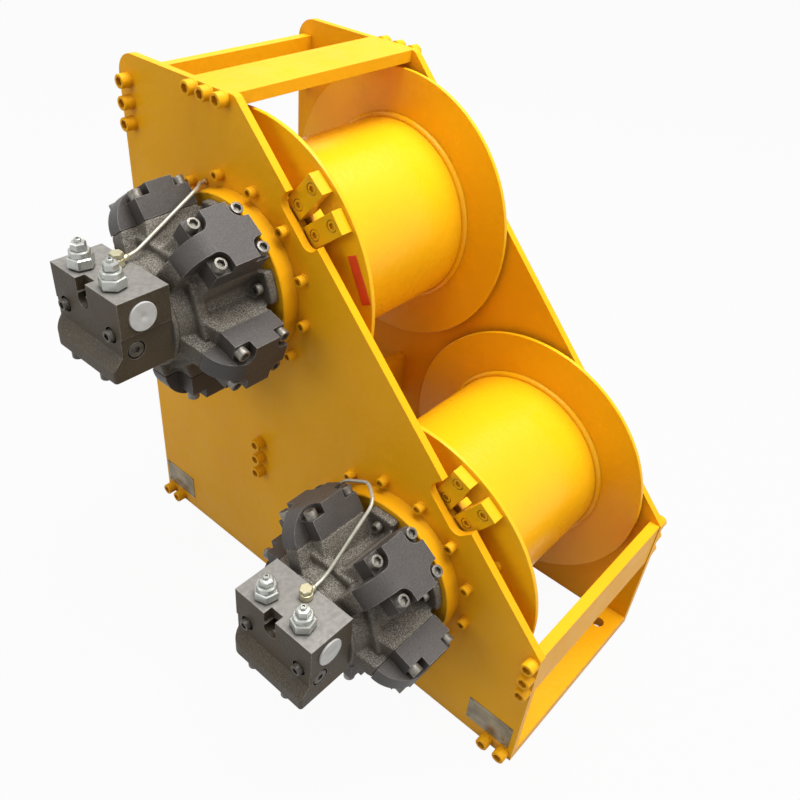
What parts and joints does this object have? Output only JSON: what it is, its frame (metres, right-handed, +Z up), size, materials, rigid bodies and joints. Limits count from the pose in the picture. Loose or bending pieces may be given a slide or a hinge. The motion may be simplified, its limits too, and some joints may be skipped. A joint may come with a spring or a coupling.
{
  "type": "hydraulic winch",
  "caption": "Hydraulic winch with an upper and a lower rope drum between bolted side plates, each drum driven by a star-shaped radial piston motor.",
  "frame": {"origin": "centre of the four base holes, at the foot of the frame", "axes": "+Z up; the drum axes run along X with the motors at -X; the sloped side faces -Y"},
  "size_m": [0.761, 0.995, 1],
  "materials": {
    "frame_paint": "satin",
    "drum_paint": "satin",
    "cast_iron": "rough",
    "zinc": "satin",
    "yellow_zinc": "satin",
    "cap_plastic": "matt",
    "plate_metal": "satin",
    "sticker_film": "matt"
  },
  "bodies": {
    "frame": {"side_plate_motor_side": "frame_paint", "side_plate_far": "frame_paint", "top_plate": "frame_paint", "rear_bar": "frame_paint", "middle_bar": "frame_paint", "front_bar": "frame_paint", "front_foot": "frame_paint", "rear_foot": "frame_paint", "nameplate_rear": "plate_metal", "nameplate_front": "plate_metal", "upper_gearbox": "frame_paint", "lower_gearbox": "frame_paint", "upper_bearing": "frame_paint", "lower_bearing": "frame_paint", "upper_motor_case": "cast_iron", "upper_cylinder_covers": "cast_iron", "upper_distributor": "cast_iron", "upper_valve_block": "cast_iron", "upper_relief_valves": "zinc", "upper_port_caps": "cap_plastic", "upper_pipe_fittings": "yellow_zinc", "upper_brake_pipe": "zinc", "lower_motor_case": "cast_iron", "lower_cylinder_covers": "cast_iron", "lower_distributor": "cast_iron", "lower_valve_block": "cast_iron", "lower_relief_valves": "zinc", "lower_port_caps": "cap_plastic", "lower_pipe_fittings": "yellow_zinc", "lower_brake_pipe": "zinc"},
    "upper_drum": {"upper_barrel": "drum_paint", "upper_flange_motor_side": "drum_paint", "upper_flange_far": "drum_paint", "upper_wedge_blocks": "drum_paint", "upper_sticker": "sticker_film"},
    "lower_drum": {"lower_barrel": "drum_paint", "lower_flange_motor_side": "drum_paint", "lower_flange_far": "drum_paint", "lower_wedge_blocks": "drum_paint"}
  },
  "joints": [
    {"name": "upper_drum_turn", "type": "hinge", "parent": "frame", "child": "upper_drum", "pos_m": [0, 0.206, 0.702], "axis": [1, 0, 0], "continuous": true},
    {"name": "lower_drum_turn", "type": "hinge", "parent": "frame", "child": "lower_drum", "pos_m": [0, -0.186, 0.296], "axis": [1, 0, 0], "continuous": true}
  ]
}
